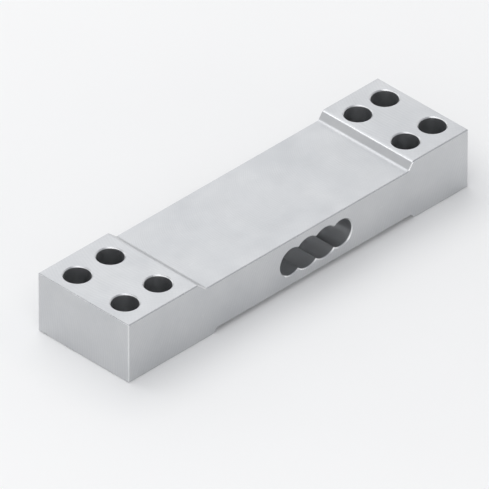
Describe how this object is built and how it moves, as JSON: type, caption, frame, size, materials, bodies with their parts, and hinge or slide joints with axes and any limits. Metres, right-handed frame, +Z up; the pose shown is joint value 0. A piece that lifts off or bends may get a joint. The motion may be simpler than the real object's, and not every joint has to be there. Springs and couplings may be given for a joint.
{
  "type": "single-point weighing load cell",
  "caption": "Flat aluminium bending-beam weighing cell with drilled end blocks, a stepped recess and a lobed bore through its sides.",
  "frame": {"origin": "bottom centre of the bar's bounding box, on the plane of the end blocks' undersides", "axes": "+X along the bar to the live (loaded) end, +Y to the far side, where the cable inlet is, +Z up"},
  "size_m": [0.15, 0.04, 0.022],
  "materials": {
    "body": "fine milled, clear anodised",
    "gauge_film": "amber polyimide film",
    "gauge_foil": "etched constantan foil",
    "terminal_board": "solder-masked glass epoxy",
    "board_copper": "gilt copper",
    "resistor": "glazed ceramic with tinned ends",
    "solder": "bright solder",
    "jumper_wire": "enamelled copper",
    "silicone_coat": "clear silicone"
  },
  "bodies": {
    "root": {"body": "body", "fixed_gauge_carrier": "gauge_film", "live_gauge_carrier": "gauge_film", "fixed_near_grid": "gauge_foil", "fixed_far_grid": "gauge_foil", "live_near_grid": "gauge_foil", "live_far_grid": "gauge_foil", "terminal_board": "terminal_board", "board_copper": "board_copper", "supply_span_near_resistor": "resistor", "zero_balance_resistor": "resistor", "zero_drift_resistor": "resistor", "supply_span_far_resistor": "resistor", "resistor_solder": "solder", "tab_solder": "solder", "pad_solder": "solder", "silicone_coat": "silicone_coat", "fixed_near_inner_lead": "jumper_wire", "fixed_near_outer_lead": "jumper_wire", "fixed_far_inner_lead": "jumper_wire", "fixed_far_outer_lead": "jumper_wire", "live_near_inner_lead": "jumper_wire", "live_near_outer_lead": "jumper_wire", "live_far_inner_lead": "jumper_wire", "live_far_outer_lead": "jumper_wire"}
  },
  "joints": []
}
